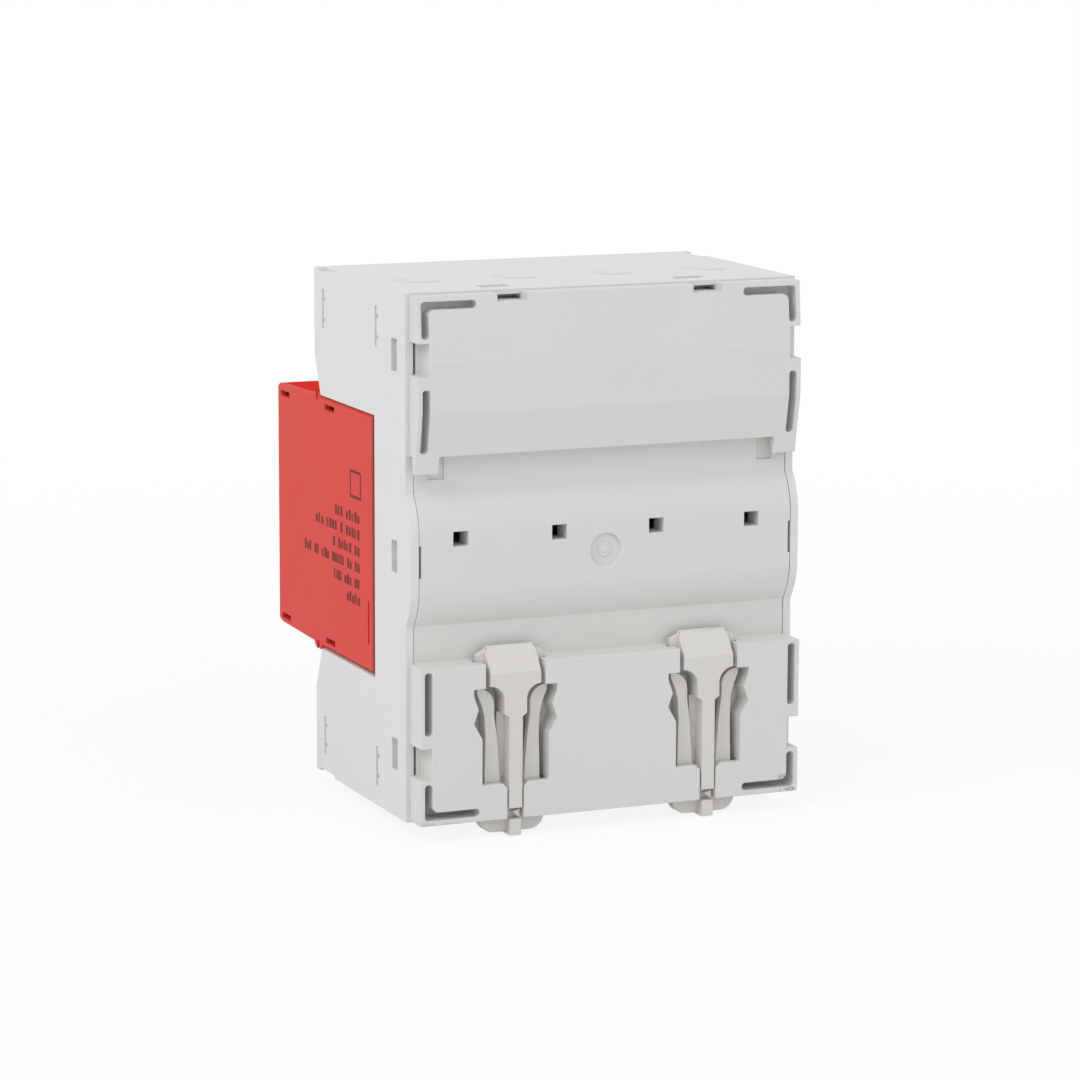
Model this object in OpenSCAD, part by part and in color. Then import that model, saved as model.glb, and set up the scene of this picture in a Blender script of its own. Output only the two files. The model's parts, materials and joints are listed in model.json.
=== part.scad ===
// Four-pole pluggable surge arrester for a 35 mm top-hat rail.
// Frame: X across the poles, +Y towards the rail, +Z up, origin in the middle of the rail seat.

/* [Housing] */
// Width of one pole: the pitch of the modules, terminals and contacts
pole_pitch = 18; // [17.7:0.1:19]
// Height of the housing
housing_h = 90; // [88:1:96]
// Depth from the rail seat to the front of the terminal shoulders
shoulder_d = 44; // [43:0.5:48]
// Height of the flat part of a shoulder's front
shoulder_face_h = 15; // [14:0.5:16]
// How far a shoulder's front falls back between its flat part and the bay
shoulder_fall = 3; // [2:0.5:4]
// Height of the bay that takes the modules
bay_h = 45.4; // [44.4:0.2:46]
// Depth from the rail seat to the bay floor
bay_floor_d = 14.5; // [14:0.5:16]
// Thickness of the top, bottom, front and bay walls
skin_t = 1.6; // [1.4:0.1:2]
// Thickness of the two side walls
side_t = 1.4; // [1.2:0.1:1.6]
// Thickness of the partitions between the poles
partition_t = 1.6; // [1.2:0.1:2]

/* [Rear base] */
// How far the base's blocks stand in from the housing's sides
base_inset_x = 0.7; // [0.4:0.1:1]
// How far the base stands in from the housing's top and bottom
base_inset_z = 0.3; // [0.2:0.1:0.6]
// Thickness of the base plate in front of the rail seat
plate_t = 1.7; // [1.4:0.1:2]
// Depth of the upper block behind the rail seat at its top edge
upper_block_d = 3.2; // [3:0.1:4]
// Depth of the upper block at its ridge
ridge_d = 4.2; // [4:0.1:5]
// Depth of the upper block at its lower edge
upper_lip_d = 2.8; // [2.5:0.1:3.4]
// Depth of the lower block behind the rail seat
lower_block_d = 5.1; // [4.9:0.1:6]
// Depth of the hump that stands between the rail's flanges
hump_d = 2.5; // [1.6:0.1:2.6]
// Width of the rail over its flanges
rail_w = 35; // [34.6:0.1:35.4]
// Thickness of the rail's flanges
flange_t = 1; // [0.8:0.1:1.1]
// How far the fixed hooks reach over the rail's upper flange
hook_reach = 2.7; // [2:0.1:3.2]
// Width of a fixed hook
hook_w = 4.3; // [3:0.1:6]
// Width of the slots moulded into the base's corners and edges
slot_w = 1.35; // [1:0.05:1.8]
// Wall left between those slots and the base's edge
slot_wall = 0.8; // [0.6:0.1:1.2]

/* [Foot catch] */
// Distance between the two foot catches
clip_spacing = 36; // [30:0.5:40]
// How far a foot catch slides down to free the rail
clip_travel = 4.8; // [4:0.1:5]
// Width of a catch's nose
nose_w = 9.3; // [8.6:0.1:9.8]
// How far a nose reaches over the rail's lower flange
nose_reach = 2.3; // [2:0.1:3]
// Width of a catch's stem
stem_w = 2.4; // [2:0.1:2.8]
// Width of a catch's pull tab
tab_w = 11.8; // [10:0.2:13]
// How far a pull tab stands out below the housing
tab_drop = 2.3; // [1.5:0.1:4]
// Play between a catch and its guide
clip_play = 0.3; // [0.2:0.05:0.4]

/* [Module] */
// Gap between neighbouring modules
module_gap = 0.3; // [0.2:0.05:0.5]
// Play between a module and the bay
module_play = 0.3; // [0.2:0.05:0.5]
// Depth from the rail seat to a module's front
module_front_d = 64.2; // [61:0.2:66]
// How much lower a module's top is at its front than in the bay
module_taper = 0.5; // [0.3:0.1:1]
// Thickness of a module's walls
module_wall = 1.4; // [1.2:0.1:1.6]
// Thickness of a module's side cover
cover_t = 1.2; // [1:0.1:1.5]
// Side of the square varistor block
varistor_w = 34; // [30:0.5:35]
// Thickness of the varistor block
varistor_t = 9; // [6:0.5:9.5]

/* [Contacts] */
// Thickness of a plug blade
blade_t = 0.8; // [0.6:0.1:1]
// Width of a plug blade
blade_w = 6; // [5:0.2:6.4]
// Distance from the bay's top or bottom to the middle of a blade
blade_inset = 6.2; // [5.6:0.1:7.2]
// Thickness of the contact strips
strip_t = 1.2; // [1:0.1:1.4]
// Play between a blade and its fork
fork_play = 0.15; // [0.1:0.01:0.2]

/* [Terminals] */
// Distance from the top or bottom face to the terminal screws
terminal_inset = 9; // [8.8:0.1:9.6]
// Depth from the rail seat to the centre of the wire entries
wire_d = 16.7; // [16:0.1:18]
// Diameter of a wire entry
entry_dia = 6.4; // [6:0.1:9]
// Clear opening of an open clamp
clamp_open = 9.4; // [9:0.1:10]
// Diameter of a terminal screw
screw_dia = 5; // [4:0.1:5]
// Diameter of a screw's head
head_dia = 6.8; // [6.4:0.1:7.4]
// Height of a screw's head
head_h = 3.4; // [2.6:0.1:3.6]
// Radial play of a screw in its clamp's thread
thread_play = 0.05; // [0.02:0.01:0.08]
// Thickness of a clamp's walls
cage_t = 1.4; // [1.2:0.1:1.6]

/* [Status indicator] */
// Width of a status window
window_w = 6; // [4:0.5:6.5]
// Height of a status window
window_h = 4; // [3:0.5:5]
// Height of a status window's centre above the middle
window_z = 8; // [6:0.5:9]
// How far a status slider rises
flag_travel = 5; // [3:0.5:6]
// Mean diameter of a slider's spring
spring_dia = 2.4; // [2.2:0.1:2.6]
// Wire diameter of a slider's spring
spring_wire = 0.4; // [0.3:0.05:0.5]
// Turns of a slider's spring
spring_turns = 6; // [4:1:9]

/* [Hidden] */
$fn = 48;
POLES = 4;
POLE_LIST = [1 : POLES];
LINE = 1;
EARTH = -1;

GREY = [0.84, 0.84, 0.83];
BASE_GREY = [0.81, 0.81, 0.80];
CLIP_GREY = [0.80, 0.79, 0.77];
RED = [0.83, 0.22, 0.20];
COVER_RED = [0.86, 0.32, 0.29];
TINNED = [0.72, 0.70, 0.66];
STEEL = [0.66, 0.67, 0.69];
COATING = [0.12, 0.22, 0.45];
GREEN = [0.15, 0.60, 0.28];
CLEAR = [0.85, 0.90, 0.92, 0.4];

// Past any face that a cut has to break through
through = 1;
// Gap between pieces that are fitted together and don't move
seam = 0.1;

// Housing
half_w = pole_pitch * POLES / 2;
half_h = housing_h / 2;
half_bay = bay_h / 2;
inner_half_w = half_w - side_t;
face_z = half_h - shoulder_face_h;
slope_h = face_z - half_bay;
slope_wall = skin_t / cos(atan2(shoulder_fall, slope_h));
mouth_d = plate_t + seam;
hump_foot = 11.35;
hump_top = 4.4;

// Rear base
base_half_w = half_w - base_inset_x;
base_half_h = half_h - base_inset_z;
plate_half_w = inner_half_w - seam;
plate_half_h = half_h - skin_t - seam;
rail_play = 0.2;
rail_half = rail_w / 2 + rail_play;
hook_face = flange_t + 0.25;
ridge_low = rail_half + 7.4;
ridge_high = base_half_h - 11.1;
slot_floor = 0.4;
corner_slot_x = 9.9;
corner_slot_z = 6.2;
edge_slot_h = 10.8;
snap_z = half_h - 10.85;
snap_w = 5;
snap_t = 1.2;
snap_gap = 0.4;
snap_x = plate_half_w - snap_gap;
snap_window_w = snap_w + 0.5;
snap_window_d = 2.6;
snap_window_back = -3.9;
hook_back = snap_window_back - 0.3;
arm_front = hook_back - 2.6;
top_snap_x = pole_pitch;
top_lip_t = 0.85;

// Foot catch
clip_floor = 0.6;
clip_front = clip_floor + clip_play;
skin_over_tab = 1.5;
tab_back = lower_block_d - skin_over_tab - clip_play;
arm_back = tab_back + 0.1;
nose_top = -(rail_w / 2 - nose_reach);
nose_slope_h = 4.2;
shoulder_z = nose_top - 6.4;
neck_half = 2.07;
neck_r = nose_w / 2 - neck_half;
window_top = -rail_half - 4.2;
window_bottom = window_top - 16.6;
tooth_x = 6.75;
notch_x = 7.6;
tooth_pitch = clip_travel;
barb_x = tooth_x - clip_play;
arm_bend_r = 2.95;
arm_bend_drop = 3.2;
wing_half = 6.1;
wing_low = nose_top - 5.3;
stem_end = -half_h + 2.05;
wing_back = 2.4;
ledge_chamfer = 0.8;

// Module
module_w = pole_pitch - module_gap;
module_half_h = half_bay - module_play;
module_rear = -(bay_floor_d + module_play);
module_front = -module_front_d;
front_half_h = module_half_h - module_taper;
bay_edge = -(shoulder_d - shoulder_fall);
inside_x = module_w / 2 - cover_t;
front_in = module_front + module_wall;
rear_in = module_rear - module_wall;
front_corner = 0.2;
front_chin = 1.2;
cover_rim = 0.5;
bump_r = 2.4;
bump_h = 0.8;
bump_y = bay_edge - 2.25;
slit_w = 1.2;
slit_h = 0.9;
snap_slot_l = 4.6;
snap_slot_h = 1;
snap_slot_inset = 1.6;
slot_inset = 3.2;
slot_low = -17.6;
slot_l = 7.6;
snap_slot_front = 4.1;
snap_slot_pitch = 23.1;
snap_slot_y = [module_front + snap_slot_front, module_front + snap_slot_front + snap_slot_pitch];

// Contacts
blade_z = half_bay - blade_inset;
strip_back = -(plate_t + 4.1);
strip_front = strip_back - strip_t;
blade_tip = strip_front - 0.5;
fork_l = 5.4;
fork_t = 1;
strip_w = 8.8;
tap_gap = 0.2;
tap_l = 14;

// Terminals
terminal_z = half_h - terminal_inset;
entry_y = -wire_d;
tongue_back = entry_y - clamp_open / 2;
tongue_front = tongue_back - strip_t;
tongue_gap = 0.6;
head_front = -shoulder_d + skin_t + 0.5;
head_back = head_front + head_h;
shank_end = tongue_front - tongue_gap;
ring_front = head_back + 0.2;
ring_t = 1.4;
head_bore = head_dia + 0.4;
boss_dia = head_bore + 2.6;
driver_bore = head_dia - 0.6;
cage_front_t = 2.4;
cage_front = shank_end - cage_front_t;
cage_back = entry_y + clamp_open / 2 + cage_t;
cage_in_w = strip_w + 0.6;
cage_h = 10;
funnel_h = 0.8;
funnel_flare = 0.9;
entry_step = 0.4;
collar_t = 1.4;
collar_end = terminal_z + cage_h / 2 + 0.4;

// Status indicator
pane_play = 0.1;
pane_flange = 0.9;
pane_back = front_in + seam / 2 + 0.6;
flag_front = pane_back + 0.5;
flag_t = 1;
flag_back = flag_front + flag_t;
flag_half_w = max(window_w / 2 + pane_flange, 3) + 0.4;
flag_below = 13;
flag_above = 5;
flag_low = window_z - flag_below;
flag_high = window_z + flag_above;
rail_gap = 0.3;
rail_t = 1;
foot_low = flag_low - 1.2;
spring_y = (flag_front + flag_back) / 2;
spring_top = foot_low - 0.2;
spring_h = 10.8;
spring_seat = spring_top - spring_h - 0.2;
lever_t = 1.2;
lever_h = 4;
lever_gap = 1;
lever_x = inside_x - 1.85;

// Varistor, in the middle of the room between the blades' feet and the slider's lever
foot_gap = 0.4;
varistor_room = [rear_in - blade_t - 2 * foot_gap, flag_back + lever_t + lever_gap];
varistor_rear = (varistor_room[0] + varistor_room[1] + varistor_w) / 2;
varistor_front = varistor_rear - varistor_w;
cradle_inset = 6;

function pole_x(i) = (i - (POLES + 1) / 2) * pole_pitch;

// An outline drawn from the back's middle over the top to the front's middle, closed by its mirror image
function mirrored(p) = concat(p, [for (i = [len(p) - 1 : -1 : 0]) [p[i][0], -p[i][1]]]);

// Points of the hump's flank, which rises from a sharp foot and runs out smoothly on top
function hump_curve() = [for (i = [8 : -1 : 0]) let (t = i / 8)
    [hump_d * (1 - (1 - t) * (1 - t)), hump_foot + (hump_top - hump_foot) * t]];

// Points of an arc
function arc(c, r, a0, a1, n = 8) = [for (i = [0 : n]) let (a = a0 + (a1 - a0) * i / n)
    [c[0] + r * cos(a), c[1] + r * sin(a)]];

// A y, z outline drawn across the device
module along_x(w) {
    rotate([90, 0, 90]) linear_extrude(w, center = true) children();
}

// An x, z outline drawn through the depth from y0 to y1
module along_y(y0, y1) {
    translate([0, y1, 0]) rotate([90, 0, 0]) linear_extrude(y1 - y0) children();
}

// A block between two corners, given as ranges
module block(x, y, z) {
    translate([x[0], y[0], z[0]]) cube([x[1] - x[0], y[1] - y[0], z[1] - z[0]]);
}

module rod_y(dia, y0, y1) {
    translate([0, y1, 0]) rotate([90, 0, 0]) cylinder(d = dia, h = y1 - y0);
}

module round_rect(w, h, r) {
    square([w - 2 * r, h], center = true);
    square([w, h - 2 * r], center = true);
    for (x = [-1, 1], y = [-1, 1]) translate([x * (w / 2 - r), y * (h / 2 - r)]) circle(r);
}

module both_x() {
    children();
    mirror([1, 0, 0]) children();
}

module both_z() {
    children();
    mirror([0, 0, 1]) children();
}

module at_poles() {
    for (i = POLE_LIST) translate([pole_x(i), 0, 0]) children();
}

// Housing

function housing_outline() = mirrored(concat(
    hump_curve(),
    [[0, half_h], [-shoulder_d, half_h], [-shoulder_d, face_z], [bay_edge, half_bay],
        [-bay_floor_d, half_bay]]));

function cavity_outline() = mirrored([
    [through, half_h - skin_t],
    [-shoulder_d + skin_t, half_h - skin_t],
    [-shoulder_d + skin_t, face_z + (slope_wall - skin_t) * slope_h / shoulder_fall],
    [-shoulder_d + shoulder_fall * (slope_h - skin_t) / slope_h + slope_wall, half_bay + skin_t],
    [-bay_floor_d + skin_t, half_bay + skin_t]]);

// Boss that keeps a screw's head, and collar of a wire entry
module terminal_bosses() {
    translate([0, 0, terminal_z]) rod_y(boss_dia, -shoulder_d + skin_t / 2, ring_front + ring_t);
    translate([0, entry_y, collar_end])
        cylinder(d = entry_dia + 2 * collar_t, h = half_h - skin_t / 2 - collar_end);
}

module terminal_passages() {
    translate([0, 0, terminal_z]) {
        rod_y(driver_bore, -shoulder_d - through, head_front);
        rod_y(head_bore, -shoulder_d + skin_t, ring_front);
        rod_y(screw_dia + 0.4, head_front, ring_front + ring_t + through);
    }
    translate([0, entry_y, collar_end - through])
        cylinder(d = entry_dia, h = half_h - collar_end + 2 * through);
    translate([0, entry_y, half_h - funnel_h])
        cylinder(d = entry_dia + 2 * entry_step, h = funnel_h + through);
    translate([0, entry_y - funnel_flare, half_h - funnel_h])
        cylinder(d1 = entry_dia - 2 * funnel_flare, d2 = entry_dia + 2 * funnel_flare, h = funnel_h);
    translate([0, entry_y - funnel_flare, half_h]) cylinder(d = entry_dia + 2 * funnel_flare, h = through);
}

// Shallow bracket-shaped recess with two small nubs on its rear edge
module side_bracket(y) {
    bracket_w = 0.8;
    bracket_h = 6.9;
    bracket_low = half_h - 10.4;
    nub = 0.7;
    depth = 0.6;
    block([half_w - depth, half_w + through], [y, y + bracket_w], [bracket_low, bracket_low + bracket_h]);
    for (z = [0.18, 0.7]) block([half_w - depth, half_w + through], [y, y + bracket_w + nub],
        [bracket_low + z * bracket_h, bracket_low + z * bracket_h + nub]);
}

module side_cuts() {
    edge_cut = 0.5;
    both_z() {
        side_bracket(-shoulder_d + 4);
        side_bracket(-bay_floor_d + 0.4);
        block([inner_half_w, half_w + through], [-shoulder_d + 1.9, -shoulder_d + 9],
            [half_h - edge_cut, half_h + through]);
    }
    for (z = [-snap_z, 0, snap_z]) block([inner_half_w - through, half_w + through],
        [snap_window_back - snap_window_d, snap_window_back], [z - snap_window_w / 2, z + snap_window_w / 2]);
}

// Window for a snap hook in the top wall, the thinner lip behind it and the room for the hook's arm
module top_snap_room() {
    half = snap_window_w / 2;
    lip_l = 3;
    wall_in = half_h - skin_t;
    translate([top_snap_x, 0, 0]) {
        block([-half, half], [snap_window_back - snap_window_d, snap_window_back],
            [wall_in - through, half_h + through]);
        block([-half, half], [-lip_l, through], [wall_in - through, half_h - top_lip_t]);
        block([-half, half], [arm_front - 0.4, through], [plate_half_h - snap_t - 0.4, wall_in]);
    }
}

module housing() {
    color(GREY) difference() {
        union() {
            difference() {
                along_x(2 * half_w) polygon(housing_outline());
                along_x(2 * inner_half_w) polygon(cavity_outline());
            }
            for (i = [1 : POLES - 1]) translate([pole_x(i) + pole_pitch / 2, 0, 0])
                along_x(partition_t) polygon(cavity_outline());
            at_poles() both_z() terminal_bosses();
        }
        block([-inner_half_w, inner_half_w], [-mouth_d, hump_d + through],
            [-half_h + skin_t, half_h - skin_t]);
        at_poles() both_z() {
            terminal_passages();
            block([-fork_t - 0.2, fork_t + 0.2], [-bay_floor_d - through, -bay_floor_d + skin_t + through],
                [blade_z - blade_w / 2 - 0.4, blade_z + blade_w / 2 + 0.4]);
        }
        block([-inner_half_w, inner_half_w], [strip_front - 0.3, 0],
            [-(half_bay + skin_t + strip_t + 0.4), -(blade_z - blade_w / 2 - 0.3)]);
        both_x() {
            side_cuts();
            top_snap_room();
        }
    }
}

// Rear base

function upper_block_outline() = [[-seam, rail_half], [upper_lip_d, rail_half], [ridge_d, ridge_low],
    [ridge_d, ridge_high], [upper_block_d, base_half_h], [-seam, base_half_h]];

function plate_outline() = mirrored(concat(hump_curve(), [[0, plate_half_h], [-plate_t, plate_half_h]]));

// Hook over the rail's upper flange, with a lead-in on its tip
module fixed_hook() {
    tip_z = rail_w / 2 - hook_reach;
    translate([base_half_w - hook_w / 2, 0, 0]) along_x(hook_w) polygon([[hook_face, rail_half + 0.5],
        [upper_lip_d, rail_half + 0.5], [upper_lip_d, rail_half], [upper_lip_d - 0.4, tip_z],
        [hook_face + 0.45, tip_z], [hook_face, tip_z + 1.2]]);
}

// Corner slot: two arms that meet in a rounded corner, drawn from the corner inwards
module corner_slot() {
    round_r = slot_w * 0.45;
    fillet_r = 1.2;
    translate([-corner_slot_x / 2, -slot_w / 2]) round_rect(corner_slot_x, slot_w, round_r);
    translate([-slot_w / 2, -corner_slot_z / 2]) round_rect(slot_w, corner_slot_z, round_r);
    translate([-slot_w - fillet_r, -slot_w - fillet_r]) difference() {
        square(fillet_r + round_r);
        circle(fillet_r);
    }
}

module edge_slot() {
    round_rect(slot_w, edge_slot_h, slot_w * 0.4);
}

module slot_cuts() {
    slots_x = base_half_w - slot_wall;
    edge_slot_gap = 0.7;
    both_z() along_y(slot_floor, lower_block_d + through) {
        translate([slots_x, base_half_h - slot_wall - 0.1]) corner_slot();
        translate([slots_x - slot_w / 2, rail_half + edge_slot_gap + edge_slot_h / 2]) edge_slot();
    }
}

// Notches that free the snap arms, and the gaps behind them
module snap_cuts() {
    notch_w = 2.1;
    half_notch = snap_window_w / 2;
    back = lower_block_d + through;
    for (z = [-snap_z, snap_z])
        block([base_half_w - notch_w, half_w], [0, back], [z - half_notch, z + half_notch]);
    for (z = [-snap_z, 0, snap_z])
        block([snap_x, half_w], [-plate_t - through, back], [z - half_notch, z + half_notch]);
}

// Arm at x whose hook snaps into a window of a housing wall and reaches to hook_x
module snap_arm(x, hook_x) {
    translate([0, 0, -snap_w / 2]) linear_extrude(snap_w) polygon([[x - snap_t, -plate_t + seam],
        [x, -plate_t + seam], [x, hook_back], [hook_x, hook_back], [hook_x, hook_back - 0.7],
        [x, arm_front + 0.6], [x, arm_front], [x - snap_t, arm_front]]);
}

// Rib that presses a contact strip into the housing
module strip_rib() {
    block([-0.8, 0.8], [strip_back + seam, -plate_t + seam], [blade_z - 1.5, half_bay]);
}

// Outline of the window that shows a catch's arms, as right half
function clip_window_half() = [[nose_w / 2 + 0.8, -rail_half + through], [nose_w / 2 + 0.8, window_top],
    [notch_x, window_top], [notch_x, window_top - 1.1], [tooth_x, window_top - 1.1 - tooth_pitch / 2],
    [notch_x, window_top - 1.1 - tooth_pitch], [tab_w / 2 + 0.2, window_top - 1.1 - 1.55 * tooth_pitch],
    [tab_w / 2 + 0.2, window_bottom], [stem_w / 2 + clip_play + ledge_chamfer, window_bottom],
    [stem_w / 2 + clip_play, window_bottom - ledge_chamfer],
    [stem_w / 2 + clip_play, -base_half_h - through]];

module clip_pocket() {
    half = clip_window_half();
    along_y(clip_floor, lower_block_d + through)
        polygon(concat(half, [for (i = [len(half) - 1 : -1 : 0]) [-half[i][0], half[i][1]]]));
    block([-wing_half - 0.4, wing_half + 0.4], [clip_floor, wing_back + clip_play],
        [wing_low - clip_travel - 0.4, -rail_half + through]);
    block([-tab_w / 2 - clip_play, tab_w / 2 + clip_play], [clip_floor, tab_back + clip_play],
        [-base_half_h - through, window_bottom + 0.1]);
}

module rear_base() {
    hole_w = 2.7;
    hole_h = 2.5;
    hole_z = 3.6;
    gate_dia = 5.8;
    gate_depth = 0.6;
    gate_x = 0.4;
    core_recess = 0.4;
    recess_x = base_half_w - hook_w;
    color(BASE_GREY) difference() {
        union() {
            difference() {
                union() {
                    along_x(2 * base_half_w) polygon(upper_block_outline());
                    block([-base_half_w, base_half_w], [0, lower_block_d], [-base_half_h, -rail_half]);
                    along_x(2 * plate_half_w) polygon(plate_outline());
                    both_x() fixed_hook();
                }
                both_x() {
                    block([plate_half_w, half_w], [-plate_t - through, 0], [-half_h, half_h]);
                    both_z() block([-through, half_w], [-plate_t - through, 0], [plate_half_h, half_h]);
                    snap_cuts();
                    slot_cuts();
                    translate([clip_spacing / 2, 0, 0]) clip_pocket();
                    block([recess_x - 1.9, recess_x + 0.9], [-core_recess, hook_face],
                        [rail_half - 4.2, rail_half]);
                    translate([top_snap_x, 0, 0]) block([-snap_window_w / 2, snap_window_w / 2],
                        [-through, ridge_d], [plate_half_h, half_h]);
                }
            }
            both_x() {
                for (z = [-snap_z, 0, snap_z]) translate([0, 0, z]) snap_arm(snap_x, half_w - 1);
                translate([top_snap_x, 0, 0]) rotate([0, -90, 0]) snap_arm(plate_half_h, half_h - 0.4);
            }
            at_poles() both_z() strip_rib();
        }
        at_poles() block([-hole_w / 2, hole_w / 2], [-plate_t - through, hump_d + through],
            [hole_z - hole_h / 2, hole_z + hole_h / 2]);
        translate([gate_x, 0, 0]) difference() {
            rod_y(gate_dia, hump_d - gate_depth, hump_d + through);
            rod_y(2.6, 0, hump_d - 0.4);
            rod_y(1.3, 0, hump_d - 0.1);
        }
    }
}

// Foot catch

// Right half of the catch seen from behind: nose, rounded shoulder, neck and stem
function catch_half() = concat(
    [[nose_w / 2 - 0.4, nose_top], [nose_w / 2, nose_top - 1], [nose_w / 2, shoulder_z]],
    arc([nose_w / 2, shoulder_z - neck_r], neck_r, 90, 180),
    [[neck_half, shoulder_z - neck_r - 2.4], [stem_w / 2, shoulder_z - neck_r - 3], [stem_w / 2, stem_end]]);

// Sprung arm beside the stem, with a barb for the detent teeth
function arm_half() = concat(
    [[2.1, window_bottom - 0.6], [2.75, window_top - 9], [3.25, window_top - 5.2]],
    arc([barb_x - 0.25, window_top - arm_bend_drop], arm_bend_r, 180, 100, 6),
    [[barb_x, window_top - 0.3], [barb_x, window_top - 1.1], [5.6, window_top - arm_bend_drop], [5.1, window_top - 5],
        [4.9, window_top - 9], [5.1, window_bottom - 0.6]]);

module din_clip(i) {
    half = catch_half();
    tab_low = -half_h - tab_drop;
    tab_r = 2.6;
    tooth_z = -half_h + 1.1;
    rib_half = 1.05;
    wing_top = [nose_w / 2 - 0.6, nose_top - 0.3];
    wing_end = [wing_half, nose_top - 1.3];
    color(CLIP_GREY) translate([(i - 1.5) * clip_spacing, 0, 0]) {
        intersection() {
            union() {
                along_y(clip_front, lower_block_d)
                    polygon(concat(half, [for (i = [len(half) - 1 : -1 : 0]) [-half[i][0], half[i][1]]]));
                along_y(hook_face, wing_back) polygon([[-wing_half, wing_low], [wing_half, wing_low], wing_end,
                    wing_top, [-wing_top[0], wing_top[1]], [-wing_end[0], wing_end[1]]]);
            }
            along_x(2 * wing_half + 1) polygon([[hook_face, nose_top], [hook_face + 0.8, nose_top],
                [lower_block_d, nose_top - nose_slope_h], [lower_block_d, -half_h], [clip_front, -half_h],
                [clip_front, -rail_half - 0.3], [hook_face, -rail_half - 0.3]]);
        }
        block([-2.5, 2.5], [clip_front, wing_back], [window_bottom - 1, shoulder_z - neck_r - 2.4]);
        both_x() along_y(clip_front, arm_back) polygon(arm_half());
        along_y(clip_front, tab_back) difference() {
            translate([0, (tab_low + window_bottom) / 2 - 0.2])
                square([tab_w, window_bottom - 0.4 - tab_low], center = true);
            for (s = [-1, 1]) translate([s * (tab_w / 2 - tab_r), tab_low + tab_r]) difference() {
                translate([s > 0 ? 0 : -tab_r - 1, -tab_r - 1]) square(tab_r + 1);
                circle(tab_r);
            }
        }
        block([-rib_half, rib_half], [clip_front, lower_block_d], [tab_low - 0.4, -half_h + 0.1]);
        along_y(tab_back - 0.1, tab_back + 1)
            polygon([[-1.1, tooth_z + 0.6], [0.4, tooth_z + 0.2], [-0.9, tooth_z - 0.9]]);
    }
}

// Contacts

// Fork for one blade, tongue for one clamp and the strip between them
module contact_path() {
    leg_low = half_bay + skin_t + seam;
    block([-strip_w / 2, strip_w / 2], [tongue_front, tongue_back], [leg_low, terminal_z + cage_h / 2 - 0.6]);
    block([-strip_w / 2, strip_w / 2], [tongue_front, strip_back], [leg_low, leg_low + strip_t]);
    block([-strip_w / 2, strip_w / 2], [strip_front, strip_back], [blade_z - blade_w / 2, leg_low + strip_t]);
    both_x() block([blade_t / 2 + fork_play, blade_t / 2 + fork_play + fork_t],
        [strip_front - fork_l, strip_front + 0.1], [blade_z - blade_w / 2, blade_z + blade_w / 2]);
}

module line_contact(i) {
    color(TINNED) translate([pole_x(i), 0, 0]) contact_path();
}

module earth_busbar() {
    bar_half = pole_x(POLES) + strip_w / 2;
    color(TINNED) mirror([0, 0, 1]) {
        at_poles() contact_path();
        block([-bar_half, bar_half], [strip_front, strip_back], [blade_z - blade_w / 2, half_bay]);
    }
}

// Terminals, on the upper side for the lines and on the lower side for earth

module place_terminal(i, side) {
    translate([pole_x(i), 0, side * terminal_z]) children();
}

module terminal_screw(i, side) {
    recess_w = 1.1;
    recess_d = 1.8;
    recess_l = 4.4;
    color(STEEL) place_terminal(i, side) difference() {
        union() {
            rod_y(head_dia, head_front, head_back);
            rod_y(screw_dia, head_back - 0.1, shank_end);
        }
        for (a = [0, 90]) rotate([0, a, 0]) block([-recess_l / 2, recess_l / 2],
            [head_front - through, head_front + recess_d], [-recess_w / 2, recess_w / 2]);
    }
}

module terminal_cage(i, side) {
    out_half = cage_in_w / 2 + cage_t;
    color(STEEL) place_terminal(i, side) difference() {
        block([-out_half, out_half], [cage_front, cage_back], [-cage_h / 2, cage_h / 2]);
        block([-cage_in_w / 2, cage_in_w / 2], [shank_end, cage_back - cage_t], [-cage_h, cage_h]);
        rod_y(screw_dia + 2 * thread_play, cage_front - through, shank_end + through);
    }
}

// Module

// Corners of a module seen from its side: it tapers in front of the bay
function module_corners() = [[module_rear, -module_half_h], [module_rear, module_half_h],
    [bay_edge, module_half_h], [module_front + front_corner, front_half_h],
    [module_front, front_half_h - front_corner], [module_front, -front_half_h + front_chin / 2],
    [module_front + front_chin, -front_half_h], [bay_edge, -module_half_h]];

// Rounded catch bumps above and below
module catch_bumps() {
    for (s = [-1, 1]) translate([bump_y, s * (module_half_h + bump_h - bump_r)]) circle(bump_r);
}

// Bevels round a module cover's outer face
module rim_cuts() {
    corners = module_corners();
    for (k = [0 : len(corners) - 1]) {
        start = corners[k];
        run = corners[(k + 1) % len(corners)] - start;
        translate([module_w / 2, start[0], start[1]]) rotate([atan2(run[1], run[0]), 0, 0])
            along_y(-through, norm(run) + through) polygon([[-cover_rim - through, -through],
                [through, -through], [through, cover_rim + through]]);
    }
}

function module_cavity() = mirrored([[rear_in, module_half_h - module_wall],
    [bay_edge, module_half_h - module_wall], [front_in, front_half_h - module_wall]]);

// Slits with a rounded bottom through the catch bumps
module catch_slits(depth) {
    top = module_half_h + bump_h;
    low = top - depth + slit_w / 2;
    both_z() {
        block([-module_w, module_w], [bump_y - slit_w / 2, bump_y + slit_w / 2], [low, top + through]);
        translate([0, bump_y, low]) rotate([0, 90, 0]) cylinder(d = slit_w, h = 2 * module_w, center = true);
    }
}

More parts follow.
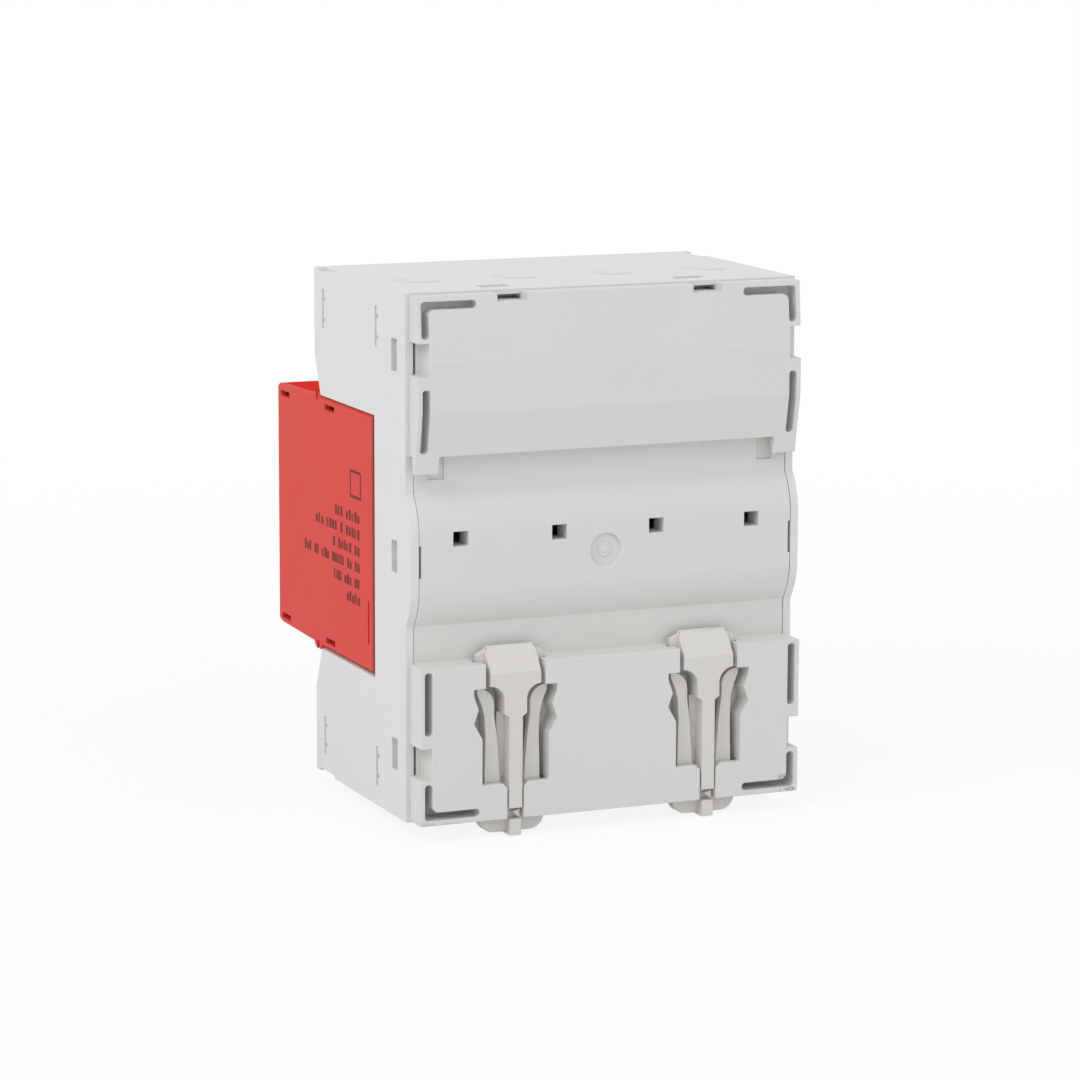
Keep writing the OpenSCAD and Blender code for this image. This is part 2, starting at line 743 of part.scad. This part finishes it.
// Rails that guide the status slider, one with a gap for its lever, and the seat of its spring
module slider_guides() {
    rail_low = flag_low - 2;
    rail_high = flag_high + flag_travel + 0.3;
    rail_x = flag_half_w + rail_gap;
    lip_front = flag_back + rail_gap;
    difference() {
        both_x() {
            block([rail_x, rail_x + rail_t], [front_in - seam, lip_front + rail_t], [rail_low, rail_high]);
            block([rail_x - 0.9, rail_x + rail_t], [lip_front, lip_front + rail_t], [rail_low, rail_high]);
        }
        block([0, module_w / 2], [flag_back, lip_front + rail_t + through],
            [-lever_h / 2 - rail_gap, lever_h / 2 + flag_travel + rail_gap]);
    }
    block([-2.2, 2.2], [front_in - seam, spring_y + 1.8], [-front_half_h + module_wall / 2, spring_seat]);
    translate([0, spring_y, spring_seat - 0.1]) cylinder(d = spring_dia - spring_wire - 0.5, h = 3.1);
}

// Ribs that cradle the varistor above and below
module cradle_ribs() {
    rib_t = 1.2;
    rib_play = 0.15;
    for (y = [varistor_rear - cradle_inset, varistor_front + cradle_inset]) both_z()
        block([-varistor_t / 2 + 0.5, varistor_t / 2 - 0.5], [y - rib_t / 2, y + rib_t / 2],
            [varistor_w / 2 + rib_play, module_half_h - module_wall / 2]);
}

module cartridge_shell(i) {
    wall_x = cover_t;
    color(RED) translate([pole_x(i), 0, 0]) difference() {
        union() {
            difference() {
                translate([-cover_t / 2 - seam / 4, 0, 0])
                    along_x(module_w - cover_t - seam / 2) {
                        polygon(module_corners());
                        catch_bumps();
                    }
                translate([(wall_x + through) / 2 - cover_t / 2, 0, 0])
                    along_x(module_w - cover_t - wall_x + through) polygon(module_cavity());
            }
            cradle_ribs();
            slider_guides();
        }
        catch_slits(bump_h + 0.7);
        block([-window_w / 2, window_w / 2], [module_front - through, front_in + seam / 2],
            [window_z - window_h / 2, window_z + window_h / 2]);
        both_z() block([-blade_t / 2 - 0.2, blade_t / 2 + 0.2], [rear_in - through, module_rear + through],
            [blade_z - blade_w / 2 - 0.2, blade_z + blade_w / 2 + 0.2]);
    }
}

// Height of the module's outline above the middle at a depth y
function outline_z(y) = y > bay_edge ? module_half_h
    : module_half_h - module_taper * (bay_edge - y) / (bay_edge - module_front);

module cartridge_cover(i) {
    arm_t = 0.8;
    arm_l = 3;
    arm_w = 2.4;
    barb = 0.5;
    slot_y = module_rear - slot_inset;
    slot_half = 0.35;
    slot_z = [slot_low, slot_low + slot_l];
    color(COVER_RED) translate([pole_x(i), 0, 0]) {
        difference() {
            union() {
                difference() {
                    translate([inside_x + cover_t / 2, 0, 0]) along_x(cover_t) polygon(module_corners());
                    rim_cuts();
                }
                translate([inside_x + cover_t / 2, 0, 0]) along_x(cover_t) catch_bumps();
            }
            catch_slits(bump_h + slit_h);
            for (y = snap_slot_y) both_z() translate([0, y, outline_z(y) - snap_slot_inset])
                block([0, module_w], [-snap_slot_l / 2, snap_slot_l / 2],
                    [-snap_slot_h / 2, snap_slot_h / 2]);
            block([inside_x + cover_t / 3, module_w], [slot_y - slot_half, slot_y + slot_half], slot_z);
        }
        for (y = snap_slot_y) both_z() translate([0, y, outline_z(y) - snap_slot_inset - snap_slot_h / 2])
            rotate([90, 0, 0]) linear_extrude(arm_w, center = true)
                polygon([[inside_x + 0.1, -arm_t], [inside_x + 0.1, 0], [inside_x - arm_l + 1, 0],
                    [inside_x - arm_l + 0.6, barb / 2], [inside_x - arm_l, 0], [inside_x - arm_l, -arm_t]]);
    }
}

module varistor(i) {
    corner_r = 2;
    color(COATING) translate([pole_x(i), (varistor_front + varistor_rear) / 2, 0]) along_x(varistor_t)
        round_rect(varistor_w, varistor_w, corner_r);
}

// Plug blade with an offset tap that lies on one face of the varistor
module plug_blade() {
    tap_x = varistor_t / 2 + tap_gap;
    foot = varistor_rear + foot_gap;
    z = [blade_z - blade_w / 2, blade_z + blade_w / 2];
    block([-blade_t / 2, blade_t / 2], [foot, blade_tip], z);
    block([-blade_t / 2, tap_x + blade_t], [foot, foot + blade_t], z);
    block([tap_x, tap_x + blade_t], [foot - tap_l, foot + blade_t], z);
}

module line_blade(i) {
    color(TINNED) translate([pole_x(i), 0, 0]) plug_blade();
}

module earth_blade(i) {
    color(TINNED) translate([pole_x(i), 0, 0]) rotate([0, 180, 0]) plug_blade();
}

// Status indicator

// Ring of points round the spring's wire at turn angle a
function coil_ring(a, sides, rise) = [for (k = [0 : sides - 1])
    let (b = 360 * k / sides, r = spring_dia / 2 + spring_wire / 2 * cos(b))
        [r * cos(a), r * sin(a), rise * a / 360 + spring_wire / 2 * sin(b)]];

module disconnect_spring(i) {
    sides = 6;
    steps = 12;
    rings = spring_turns * steps;
    rise = (spring_h - spring_wire) / spring_turns;
    points = [for (n = [0 : rings]) each coil_ring(360 * n / steps, sides, rise)];
    sleeve = [for (n = [0 : rings - 1], k = [0 : sides - 1])
        let (a = n * sides + k, b = n * sides + (k + 1) % sides)
            each [[a, a + sides, b + sides], [a, b + sides, b]]];
    ends = [[for (k = [0 : sides - 1]) k], [for (k = [sides - 1 : -1 : 0]) rings * sides + k]];
    color(STEEL) translate([pole_x(i), spring_y, spring_top - spring_h + spring_wire / 2])
        polyhedron(points, concat(sleeve, ends), convexity = 8);
}

module status_flag(i) {
    foot_half = 1.8;
    z = [-lever_h / 2, lever_h / 2];
    bar = varistor_front - lever_gap;
    color(GREEN) translate([pole_x(i), 0, 0]) {
        block([-flag_half_w, flag_half_w], [flag_front, flag_back], [flag_low, flag_high]);
        block([-foot_half, foot_half], [flag_front - 0.3, flag_back + 0.5], [foot_low, flag_low + 0.1]);
        block([-lever_h / 2, lever_h / 2], [flag_back - 0.1, bar], z);
        block([-lever_h / 2, lever_x + lever_t], [bar - lever_t, bar], z);
        block([lever_x, lever_x + lever_t], [bar - lever_t, varistor_rear - tap_l], z);
    }
}

module status_window(i) {
    pane = [window_w / 2 - pane_play, window_h / 2 - pane_play];
    color(CLEAR) translate([pole_x(i), 0, window_z]) {
        block([-pane[0], pane[0]], [module_front, pane_back], [-pane[1], pane[1]]);
        block([-pane[0] - pane_flange, pane[0] + pane_flange], [front_in + seam / 2, pane_back],
            [-pane[1] - pane_flange, pane[1] + pane_flange]);
    }
}

housing();
rear_base();
earth_busbar();
for (i = [1, 2]) {
    din_clip(i);
}
for (i = POLE_LIST) {
    line_contact(i);
    terminal_screw(i, LINE);
    terminal_screw(i, EARTH);
    terminal_cage(i, LINE);
    terminal_cage(i, EARTH);
    cartridge_shell(i);
    cartridge_cover(i);
    varistor(i);
    line_blade(i);
    earth_blade(i);
    disconnect_spring(i);
    status_flag(i);
    status_window(i);
}
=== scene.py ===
"""Looks of a four-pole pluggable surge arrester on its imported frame."""

import json
import math

import bmesh
import bpy
from mathutils import Matrix, Vector


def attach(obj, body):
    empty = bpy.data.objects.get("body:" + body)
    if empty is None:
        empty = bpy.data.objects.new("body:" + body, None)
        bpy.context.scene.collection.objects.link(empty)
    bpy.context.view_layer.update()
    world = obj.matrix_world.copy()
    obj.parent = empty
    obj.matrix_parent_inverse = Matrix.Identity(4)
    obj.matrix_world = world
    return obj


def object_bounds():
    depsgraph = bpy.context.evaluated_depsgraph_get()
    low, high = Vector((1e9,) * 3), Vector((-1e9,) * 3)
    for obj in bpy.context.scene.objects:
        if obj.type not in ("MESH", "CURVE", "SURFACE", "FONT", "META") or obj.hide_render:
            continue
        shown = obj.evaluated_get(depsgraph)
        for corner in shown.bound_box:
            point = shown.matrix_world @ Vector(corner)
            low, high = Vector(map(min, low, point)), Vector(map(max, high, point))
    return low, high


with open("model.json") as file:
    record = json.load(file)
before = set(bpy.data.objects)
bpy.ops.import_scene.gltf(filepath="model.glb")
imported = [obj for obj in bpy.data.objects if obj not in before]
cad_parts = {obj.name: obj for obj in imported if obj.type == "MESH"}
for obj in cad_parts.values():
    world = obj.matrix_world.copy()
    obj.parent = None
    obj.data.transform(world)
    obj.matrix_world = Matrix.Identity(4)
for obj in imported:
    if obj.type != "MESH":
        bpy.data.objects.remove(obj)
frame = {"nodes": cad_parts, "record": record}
cad_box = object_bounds()
nodes = frame["nodes"]

MM = 0.001
POLES = (1, 2, 3, 4)
POLE_PITCH = 18.0
MIDDLE_POLE = sum(POLES) / len(POLES)
MODULE_PLAY = 0.3

# The photograph's camera, in millimetres and degrees
CAMERA_AZIMUTH = 156.89
CAMERA_ELEVATION = 10.05
CAMERA_ROLL = 0.22
CAMERA_DISTANCE = 693.44
CAMERA_TARGET = (11.56, 0.0, 1.99)
SENSOR = 36.0
FOCAL_SHARE = 4091.22 / 1080


class Term:
    """A value that varies over a surface: arithmetic on it adds Math nodes to its finish."""

    def __init__(self, finish, socket):
        self.finish = finish
        self.socket = socket

    def math(self, operation, *values):
        return self.finish.add("ShaderNodeMath", {"operation": operation}, dict(enumerate(values)))

    def __add__(self, other):
        return self.math("ADD", self, other)

    def __radd__(self, other):
        return self.math("ADD", other, self)

    def __sub__(self, other):
        return self.math("SUBTRACT", self, other)

    def __rsub__(self, other):
        return self.math("SUBTRACT", other, self)

    def __mul__(self, other):
        return self.math("MULTIPLY", self, other)

    def __rmul__(self, other):
        return self.math("MULTIPLY", other, self)

    def __truediv__(self, other):
        return self.math("DIVIDE", self, other)

    def __abs__(self):
        return self.math("ABSOLUTE", self)

    def root(self):
        return self.math("SQRT", self)

    def rising(self, low, high):
        """0 below low, 1 above high, smooth between them."""
        return self.finish.add("ShaderNodeMapRange", {"interpolation_type": "SMOOTHSTEP"},
                               {"Value": self, "From Min": low, "From Max": high})

    def between(self, low, high, soft):
        """1 between low and high, fading over soft on both sides."""
        return self.rising(low - soft, low + soft) * (1 - self.rising(high - soft, high + soft))


class Finish:
    """A node-based material. Lengths in it are in millimetres."""

    def __init__(self, name):
        self.material = bpy.data.materials.new(name)
        self.material.use_nodes = True
        self.tree = self.material.node_tree
        self.tree.nodes.clear()
        self.output = self.tree.nodes.new("ShaderNodeOutputMaterial")

    def feed(self, socket, value):
        if isinstance(value, Term):
            self.tree.links.new(value.socket, socket)
        else:
            socket.default_value = value

    def add(self, kind, settings=None, sockets=None, out=0):
        """Adds a node: its type, its settings, then the values or links of its sockets."""
        node = self.tree.nodes.new(kind)
        for key, value in (settings or {}).items():
            setattr(node, key, value)
        for key, value in (sockets or {}).items():
            self.feed(node.inputs[key], value)
        return Term(self, node.outputs[out])

    def place(self):
        """Object coordinates in millimetres."""
        metres = self.add("ShaderNodeTexCoord", out="Object")
        return self.add("ShaderNodeVectorMath", {"operation": "SCALE"}, {0: metres, "Scale": 1 / MM})

    def axes(self):
        place = self.place()
        split = self.add("ShaderNodeSeparateXYZ", None, {0: place})
        outputs = split.socket.node.outputs
        return [Term(self, outputs[k]) for k in range(3)]

    def noise(self, size, detail=2.0, roughness=0.5, stretch=(1, 1, 1)):
        """Noise from 0 to 1 with features of about this size."""
        place = self.add("ShaderNodeVectorMath", {"operation": "MULTIPLY"}, {0: self.place(), 1: stretch})
        return self.add("ShaderNodeTexNoise", None, {"Vector": place, "Scale": 1 / size, "Detail": detail,
                                                     "Roughness": roughness})

    def mix(self, factor, first, second):
        return self.add("ShaderNodeMix", {"data_type": "RGBA", "clamp_factor": True},
                        {0: factor, 6: first, 7: second}, out=2)

    def bump(self, height, distance):
        return self.add("ShaderNodeBump", None,
                        {"Height": height, "Distance": distance * MM, "Strength": 1.0})

    def surface(self, **inputs):
        """Ends the finish in a Principled surface: underscores in names stand for spaces."""
        sockets = {key.replace("_", " "): value for key, value in inputs.items()}
        shader = self.add("ShaderNodeBsdfPrincipled", None, sockets)
        self.tree.links.new(shader.socket, self.output.inputs["Surface"])
        return self.material


def rgb(red, green, blue):
    return (red, green, blue, 1.0)


def lighter(colour, share):
    return tuple(min(1.0, c * share) for c in colour[:3]) + (1.0,)


def moulded_plastic(name, colour, roughness, grain, sheen, marks=None, mark_colour=None):
    """Moulded plastic: faint flow clouds, a fine eroded grain, a few specks and given marks, real rub marks
    as well as painted shade.
    """
    finish = Finish(name)
    clouds = finish.noise(22.0, detail=3.0)
    grains = finish.noise(0.22, detail=1.0)
    specks = finish.noise(0.9, detail=2.0, roughness=0.6).rising(0.70, 0.80)
    tone = finish.mix(clouds, lighter(colour, 0.975), lighter(colour, 1.02))
    tone = finish.mix(specks * 0.10, tone, lighter(colour, 0.72))
    if marks:
        # Given marks: real rub marks on the base, and painted shade along the covers' rear edges
        tone = finish.mix(marks(finish), tone, mark_colour)
    rough = roughness + (clouds - 0.5) * 0.10 + (grains - 0.5) * 0.08
    return finish.surface(Base_Color=tone, Roughness=rough, Normal=finish.bump(grains, grain),
                          Specular_IOR_Level=sheen)


# Rub marks on the base, in millimetres: low, high and softness across and up, then their strength
RUB_MARKS = (
    ((-34.6, -31.2, 0.4), (-44.9, -44.0, 0.25), 0.9),
    ((-34.3, -31.6, 0.5), (-42.8, -41.6, 0.4), 0.75),
    ((28.0, 37.0, 1.5), (-45.2, -44.0, 0.4), 0.25),
)
EDGE_RUB_Z = (-45.6, -44.6, 0.2)
EDGE_RUB = 0.35
RUB_DEPTH = (0.5, 2.5)


def handling_scuffs(finish):
    """Grey rub marks on the base's lower corners and edge."""
    x, y, z = finish.axes()
    streaks = finish.noise(0.6, detail=4.0, roughness=0.7, stretch=(0.5, 1, 1)).rising(0.44, 0.58)
    rubbed = z.between(*EDGE_RUB_Z) * finish.noise(6.0).rising(0.45, 0.62) * EDGE_RUB
    for across, upward, strength in RUB_MARKS:
        rubbed = rubbed + x.between(*across) * z.between(*upward) * strength
    return streaks * rubbed * y.rising(*RUB_DEPTH)


# Where the painted shade along a cover's rear edge starts and is full, in millimetres
REAR_EDGE_SHADE_Y = (-16.7, -15.2)


def rear_edge_painted_shade(finish):
    """Painted shade along a cover's rear edge, where it meets the bay: a dark red line that stands in for
    the shadow in the gap.
    """
    y = finish.axes()[1]
    return y.rising(*REAR_EDGE_SHADE_Y) * (0.80 + 0.2 * finish.noise(4.0))


def plated_metal(name, colour, roughness, brush):
    """Plated metal with fine drawing lines and a cloudy sheen."""
    finish = Finish(name)
    lines = finish.noise(0.12, detail=2.0, stretch=brush)
    clouds = finish.noise(3.0, detail=3.0)
    tone = finish.mix(clouds, lighter(colour, 0.86), lighter(colour, 1.06))
    rough = roughness + (lines - 0.5) * 0.22 + (clouds - 0.5) * 0.12
    return finish.surface(Base_Color=tone, Roughness=rough, Metallic=1.0, Normal=finish.bump(lines, 0.006))


def dipped_coating(name, colour):
    """Dipped epoxy: glossy, with a slow orange-peel wave."""
    finish = Finish(name)
    peel = finish.noise(1.1, detail=2.0)
    clouds = finish.noise(7.0)
    tone = finish.mix(clouds, lighter(colour, 0.8), lighter(colour, 1.2))
    rough = 0.24 + (clouds - 0.5) * 0.1
    return finish.surface(Base_Color=tone, Roughness=rough, Normal=finish.bump(peel, 0.05), Coat_Weight=0.3)


# Height at which a slider's red field turns to green, in millimetres
FIELD_Z = (4.7, 4.9)


def slider_plastic(name, green, red):
    """Slider of a status indicator: green where it shows at rest, red below."""
    finish = Finish(name)
    z = finish.axes()[2]
    clouds = finish.noise(5.0, detail=2.0)
    field = z.rising(*FIELD_Z)
    tone = finish.mix(field, red, green)
    tone = finish.mix(clouds * 0.25, tone, rgb(0.02, 0.02, 0.02))
    return finish.surface(Base_Color=tone, Roughness=0.40 + (clouds - 0.5) * 0.1,
                          Normal=finish.bump(finish.noise(0.25), 0.01))


def clear_pane(name):
    """Clear plastic with faint smears."""
    finish = Finish(name)
    smears = finish.noise(2.5, detail=3.0)
    tone = finish.mix(smears, rgb(0.86, 0.89, 0.90), rgb(0.94, 0.96, 0.96))
    return finish.surface(Base_Color=tone, Roughness=0.06 + smears * 0.08, Transmission_Weight=0.96, IOR=1.3)


def print_ink(name):
    """Dark red ink, a little worn."""
    finish = Finish(name)
    wear = finish.noise(0.5, detail=3.0)
    tone = finish.mix(wear, rgb(0.150, 0.018, 0.015), rgb(0.210, 0.028, 0.023))
    return finish.surface(Base_Color=tone, Roughness=0.55 + (wear - 0.5) * 0.15, Specular_IOR_Level=0.12)


GREY = rgb(0.700, 0.705, 0.690)
BASE_GREY = rgb(0.675, 0.672, 0.658)
CLIP_GREY = rgb(0.665, 0.648, 0.622)
SHELL_RED = rgb(0.750, 0.038, 0.030)
COVER_RED = rgb(0.675, 0.060, 0.048)
SCUFF_GREY = rgb(0.220, 0.195, 0.180)
# Colour of the painted shade along the covers' rear edges
REAR_EDGE_SHADE_RED = rgb(0.170, 0.010, 0.010)

finishes = {
    "housing_grey": moulded_plastic("housing_grey", GREY, 0.48, 0.012, 0.40),
    "base_grey": moulded_plastic("base_grey", BASE_GREY, 0.50, 0.012, 0.40, handling_scuffs, SCUFF_GREY),
    "clip_grey": moulded_plastic("clip_grey", CLIP_GREY, 0.42, 0.006, 0.40),
    "module_red": moulded_plastic("module_red", SHELL_RED, 0.62, 0.006, 0.0),
    # The covers carry a painted shade line along their rear edge
    "cover_red": moulded_plastic("cover_red", COVER_RED, 0.52, 0.010, 0.14, rear_edge_painted_shade, REAR_EDGE_SHADE_RED),
    "tinned_copper": plated_metal("tinned_copper", rgb(0.70, 0.66, 0.60), 0.34, (1, 0.06, 0.06)),
    "zinc_steel": plated_metal("zinc_steel", rgb(0.64, 0.65, 0.66), 0.32, (1, 0.08, 1)),
    "spring_steel": plated_metal("spring_steel", rgb(0.50, 0.51, 0.52), 0.30, (1, 1, 1)),
    "varistor_coating": dipped_coating("varistor_coating", rgb(0.030, 0.075, 0.220)),
    "flag_green": slider_plastic("flag_green", rgb(0.045, 0.36, 0.10), rgb(0.58, 0.03, 0.03)),
    "clear_pane": clear_pane("clear_pane"),
}
ink = print_ink("print_ink")


# Settings for rounded edges: millimetres and degrees
WELD_GAP = 0.002
FLAT_ANGLE = 0.4
EDGE_ANGLE = 35.0


def soften(piece, width, join_faces, clamp):
    """Rounds a solid's edges. It can first join flat faces, and be clamped by the shortest edge."""
    weld = piece.modifiers.new("weld", "WELD")
    weld.merge_threshold = WELD_GAP * MM
    if join_faces:
        flatten = piece.modifiers.new("flatten", "DECIMATE")
        flatten.decimate_type = "DISSOLVE"
        flatten.angle_limit = math.radians(FLAT_ANGLE)
    bevel = piece.modifiers.new("edges", "BEVEL")
    bevel.width = width * MM
    bevel.segments = 2
    bevel.limit_method = "ANGLE"
    bevel.angle_limit = math.radians(EDGE_ANGLE)
    bevel.use_clamp_overlap = clamp
    bevel.harden_normals = True


for part in frame["record"]["subparts"]:
    piece = nodes[part["node"]]
    piece.data.materials.clear()
    piece.data.materials.append(finishes[part["material_slot"]])

# Places of the print on a module's side, in millimetres: rows of small plain blocks that spell nothing
PRINT_RIGHT = -22.0
PRINT_TOP = 3.5
PRINT_STEP = 2.87
PRINT_FACE = (POLE_PITCH - MODULE_PLAY) / 2
PRINT_T = 0.04
BLOCK_WIDTHS = (1.02, 0.86, 0.98, 0.70, 1.06)
BLOCK_HEIGHTS = (1.70, 1.35, 1.62, 1.78)
FRAME_Y = (-26.9, -21.5)
FRAME_Z = (6.8, 11.7)
FRAME_LINE = 0.50
FRAME_JOINT = 0.004
# Length of each row and the blocks in each of its groups, from the left
PRINT_ROWS = (
    (12.4, (3, 5)),
    (22.2, (3, 4, 1, 5)),
    (13.5, (1, 5, 2)),
    (28.0, (3, 2, 3, 5, 2, 2)),
    (13.1, (3, 3, 2)),
    (6.6, (5,)),
)


def printed_bar(mesh, x, y, z):
    """A thin bar of ink between two depths and two heights, on the face at x."""
    made = bmesh.ops.create_cube(mesh, size=1.0)
    size = Vector((PRINT_T, y[1] - y[0], z[1] - z[0]))
    centre = Vector((x, (y[0] + y[1]) / 2, (z[0] + z[1]) / 2))
    bmesh.ops.scale(mesh, vec=size * MM, verts=made["verts"])
    bmesh.ops.translate(mesh, vec=centre * MM, verts=made["verts"])


def print_marks(i):
    """The print on one module's side: rows of blocks and an empty frame."""
    mesh = bmesh.new()
    x = (i - MIDDLE_POLE) * POLE_PITCH + PRINT_FACE
    for k, (length, groups) in enumerate(PRINT_ROWS):
        low = PRINT_TOP - k * PRINT_STEP - BLOCK_HEIGHTS[0] / 2
        step = length / (sum(groups) + len(groups) - 1)
        left = PRINT_RIGHT - length
        for n, count in enumerate(groups):
            for m in range(count):
                wide = BLOCK_WIDTHS[(m + n + 2 * k) % len(BLOCK_WIDTHS)]
                tall = BLOCK_HEIGHTS[(2 * m + n + k) % len(BLOCK_HEIGHTS)]
                printed_bar(mesh, x, (left, left + wide), (low, low + tall))
                left += step
            left += step
    for z in (FRAME_Z[0], FRAME_Z[1] - FRAME_LINE):
        printed_bar(mesh, x, FRAME_Y, (z, z + FRAME_LINE))
    upright_z = (FRAME_Z[0] + FRAME_LINE + FRAME_JOINT, FRAME_Z[1] - FRAME_LINE - FRAME_JOINT)
    for y in (FRAME_Y[0], FRAME_Y[1] - FRAME_LINE):
        printed_bar(mesh, x, (y, y + FRAME_LINE), upright_z)
    data = bpy.data.meshes.new(f"print_marks_{i}")
    mesh.to_mesh(data)
    mesh.free()
    data.materials.append(ink)
    piece = bpy.data.objects.new(f"print_marks_{i}", data)
    bpy.context.scene.collection.objects.link(piece)
    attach(piece, f"module_{i}")


for i in POLES:
    print_marks(i)

# Widths of the rounded edges in millimetres
SOFT_EDGES = {"housing": 0.22, "rear_base": 0.12, "din_clip": 0.12, "cartridge_shell": 0.2,
              "cartridge_cover": 0.14, "line_cage": 0.2, "earth_cage": 0.2, "line_screw": 0.15,
              "earth_screw": 0.15, "varistor": 0.6,
              "line_contact": 0.12, "earth_busbar": 0.12, "line_blade": 0.12, "earth_blade": 0.12,
              "status_flag": 0.12, "status_window": 0.1}
KEEPS_TRIANGLES = ("din_clip",)
ROUNDS_SHORT_EDGES = ("din_clip", "rear_base")
for name, piece in nodes.items():
    kind = name.rstrip("_0123456789")
    if kind in SOFT_EDGES:
        soften(piece, SOFT_EDGES[kind], kind not in KEEPS_TRIANGLES, kind not in ROUNDS_SHORT_EDGES)

# Pale floor that keeps the object's shadow: its size and gap are in metres.
# Near the part it glows less than the background, and the fade between them is in millimetres.
FLOOR_SIZE = 8.0
FLOOR_GAP = 0.0002
FLOOR_GLOW = 0.88
FLOOR_FADE = (130.0, 420.0)
floor_mesh = bmesh.new()
bmesh.ops.create_grid(floor_mesh, x_segments=1, y_segments=1, size=FLOOR_SIZE / 2)
bmesh.ops.translate(floor_mesh, vec=(0, 0, cad_box[0].z - FLOOR_GAP), verts=floor_mesh.verts)
floor_data = bpy.data.meshes.new("floor")
floor_mesh.to_mesh(floor_data)
floor_mesh.free()
floor = bpy.data.objects.new("floor", floor_data)
bpy.context.scene.collection.objects.link(floor)


def background_rays(tree):
    """1 for rays that see the background itself: from the camera, a mirror or through glass."""
    path = tree.nodes.new("ShaderNodeLightPath")
    seen = None
    for ray in ("Is Camera Ray", "Is Glossy Ray", "Is Transmission Ray"):
        if seen is None:
            seen = path.outputs[ray]
            continue
        largest = tree.nodes.new("ShaderNodeMath")
        largest.operation = "MAXIMUM"
        tree.links.new(seen, largest.inputs[0])
        tree.links.new(path.outputs[ray], largest.inputs[1])
        seen = largest.outputs[0]
    return seen


paper = Finish("floor_paper")
fibre = paper.noise(40.0, detail=2.0)
sheet = paper.add("ShaderNodeBsdfDiffuse", None,
                  {"Color": paper.mix(fibre, rgb(0.90, 0.90, 0.90), rgb(0.92, 0.92, 0.92))})
glow = paper.add("ShaderNodeEmission", None, {"Color": rgb(1, 1, 1), "Strength": 1.0})
across, along, _ = paper.axes()
distance = (across * across + along * along).root()
glow_share = FLOOR_GLOW + (1 - FLOOR_GLOW) * distance.rising(*FLOOR_FADE)
shown = Term(paper, background_rays(paper.tree)) * glow_share
blend = paper.add("ShaderNodeMixShader", None, {0: shown, 1: sheet, 2: glow})
paper.tree.links.new(blend.socket, paper.output.inputs["Surface"])
floor_data.materials.append(paper.material)

# Soft studio light: strength of the sky, then each lamp's place and width in metres and its power in watts
AMBIENT = 0.74
LAMPS = {"key": ((0.75, 0.30, 0.75), 0.6, 3.6), "fill": ((-0.35, 0.9, 0.75), 0.8, 1.3)}
world = bpy.data.worlds.new("studio")
world.use_nodes = True
sky = world.node_tree
sky.nodes.clear()
sky_out = sky.nodes.new("ShaderNodeOutputWorld")
ambient = sky.nodes.new("ShaderNodeBackground")
ambient.inputs["Color"].default_value = (1, 1, 1, 1)
ambient.inputs["Strength"].default_value = AMBIENT
backdrop = sky.nodes.new("ShaderNodeBackground")
backdrop.inputs["Color"].default_value = (1, 1, 1, 1)
backdrop.inputs["Strength"].default_value = 1.0
choose = sky.nodes.new("ShaderNodeMixShader")
sky.links.new(background_rays(sky), choose.inputs[0])
sky.links.new(ambient.outputs[0], choose.inputs[1])
sky.links.new(backdrop.outputs[0], choose.inputs[2])
sky.links.new(choose.outputs[0], sky_out.inputs["Surface"])
bpy.context.scene.world = world


def soft_lamp(name, place, size, power):
    """A round lamp aimed at the origin."""
    data = bpy.data.lights.new(name, "AREA")
    data.shape = "DISK"
    data.size = size
    data.energy = power
    lamp = bpy.data.objects.new(name, data)
    lamp.location = place
    lamp.rotation_euler = (-Vector(place)).to_track_quat("-Z", "Y").to_euler()
    bpy.context.scene.collection.objects.link(lamp)


for name, (place, size, power) in LAMPS.items():
    soft_lamp(name, place, size, power)

# Camera at the photograph's angle
azimuth = math.radians(CAMERA_AZIMUTH)
elevation = math.radians(CAMERA_ELEVATION)
back = Vector((math.sin(azimuth) * math.cos(elevation), -math.cos(azimuth) * math.cos(elevation),
               math.sin(elevation)))
right = Vector((0, 0, 1)).cross(back).normalized()
up = back.cross(right)
roll = math.radians(CAMERA_ROLL)
turned_right = right * math.cos(roll) + up * math.sin(roll)
turned_up = up * math.cos(roll) - right * math.sin(roll)
camera_data = bpy.data.cameras.new("camera")
camera_data.sensor_width = SENSOR
camera_data.lens = FOCAL_SHARE * SENSOR
camera = bpy.data.objects.new("camera", camera_data)
turn = Matrix((turned_right, turned_up, back)).transposed().to_4x4()
camera.matrix_world = Matrix.Translation((Vector(CAMERA_TARGET) + back * CAMERA_DISTANCE) * MM) @ turn
bpy.context.scene.collection.objects.link(camera)
bpy.context.scene.camera = camera

bpy.context.scene.view_settings.view_transform = "Standard"
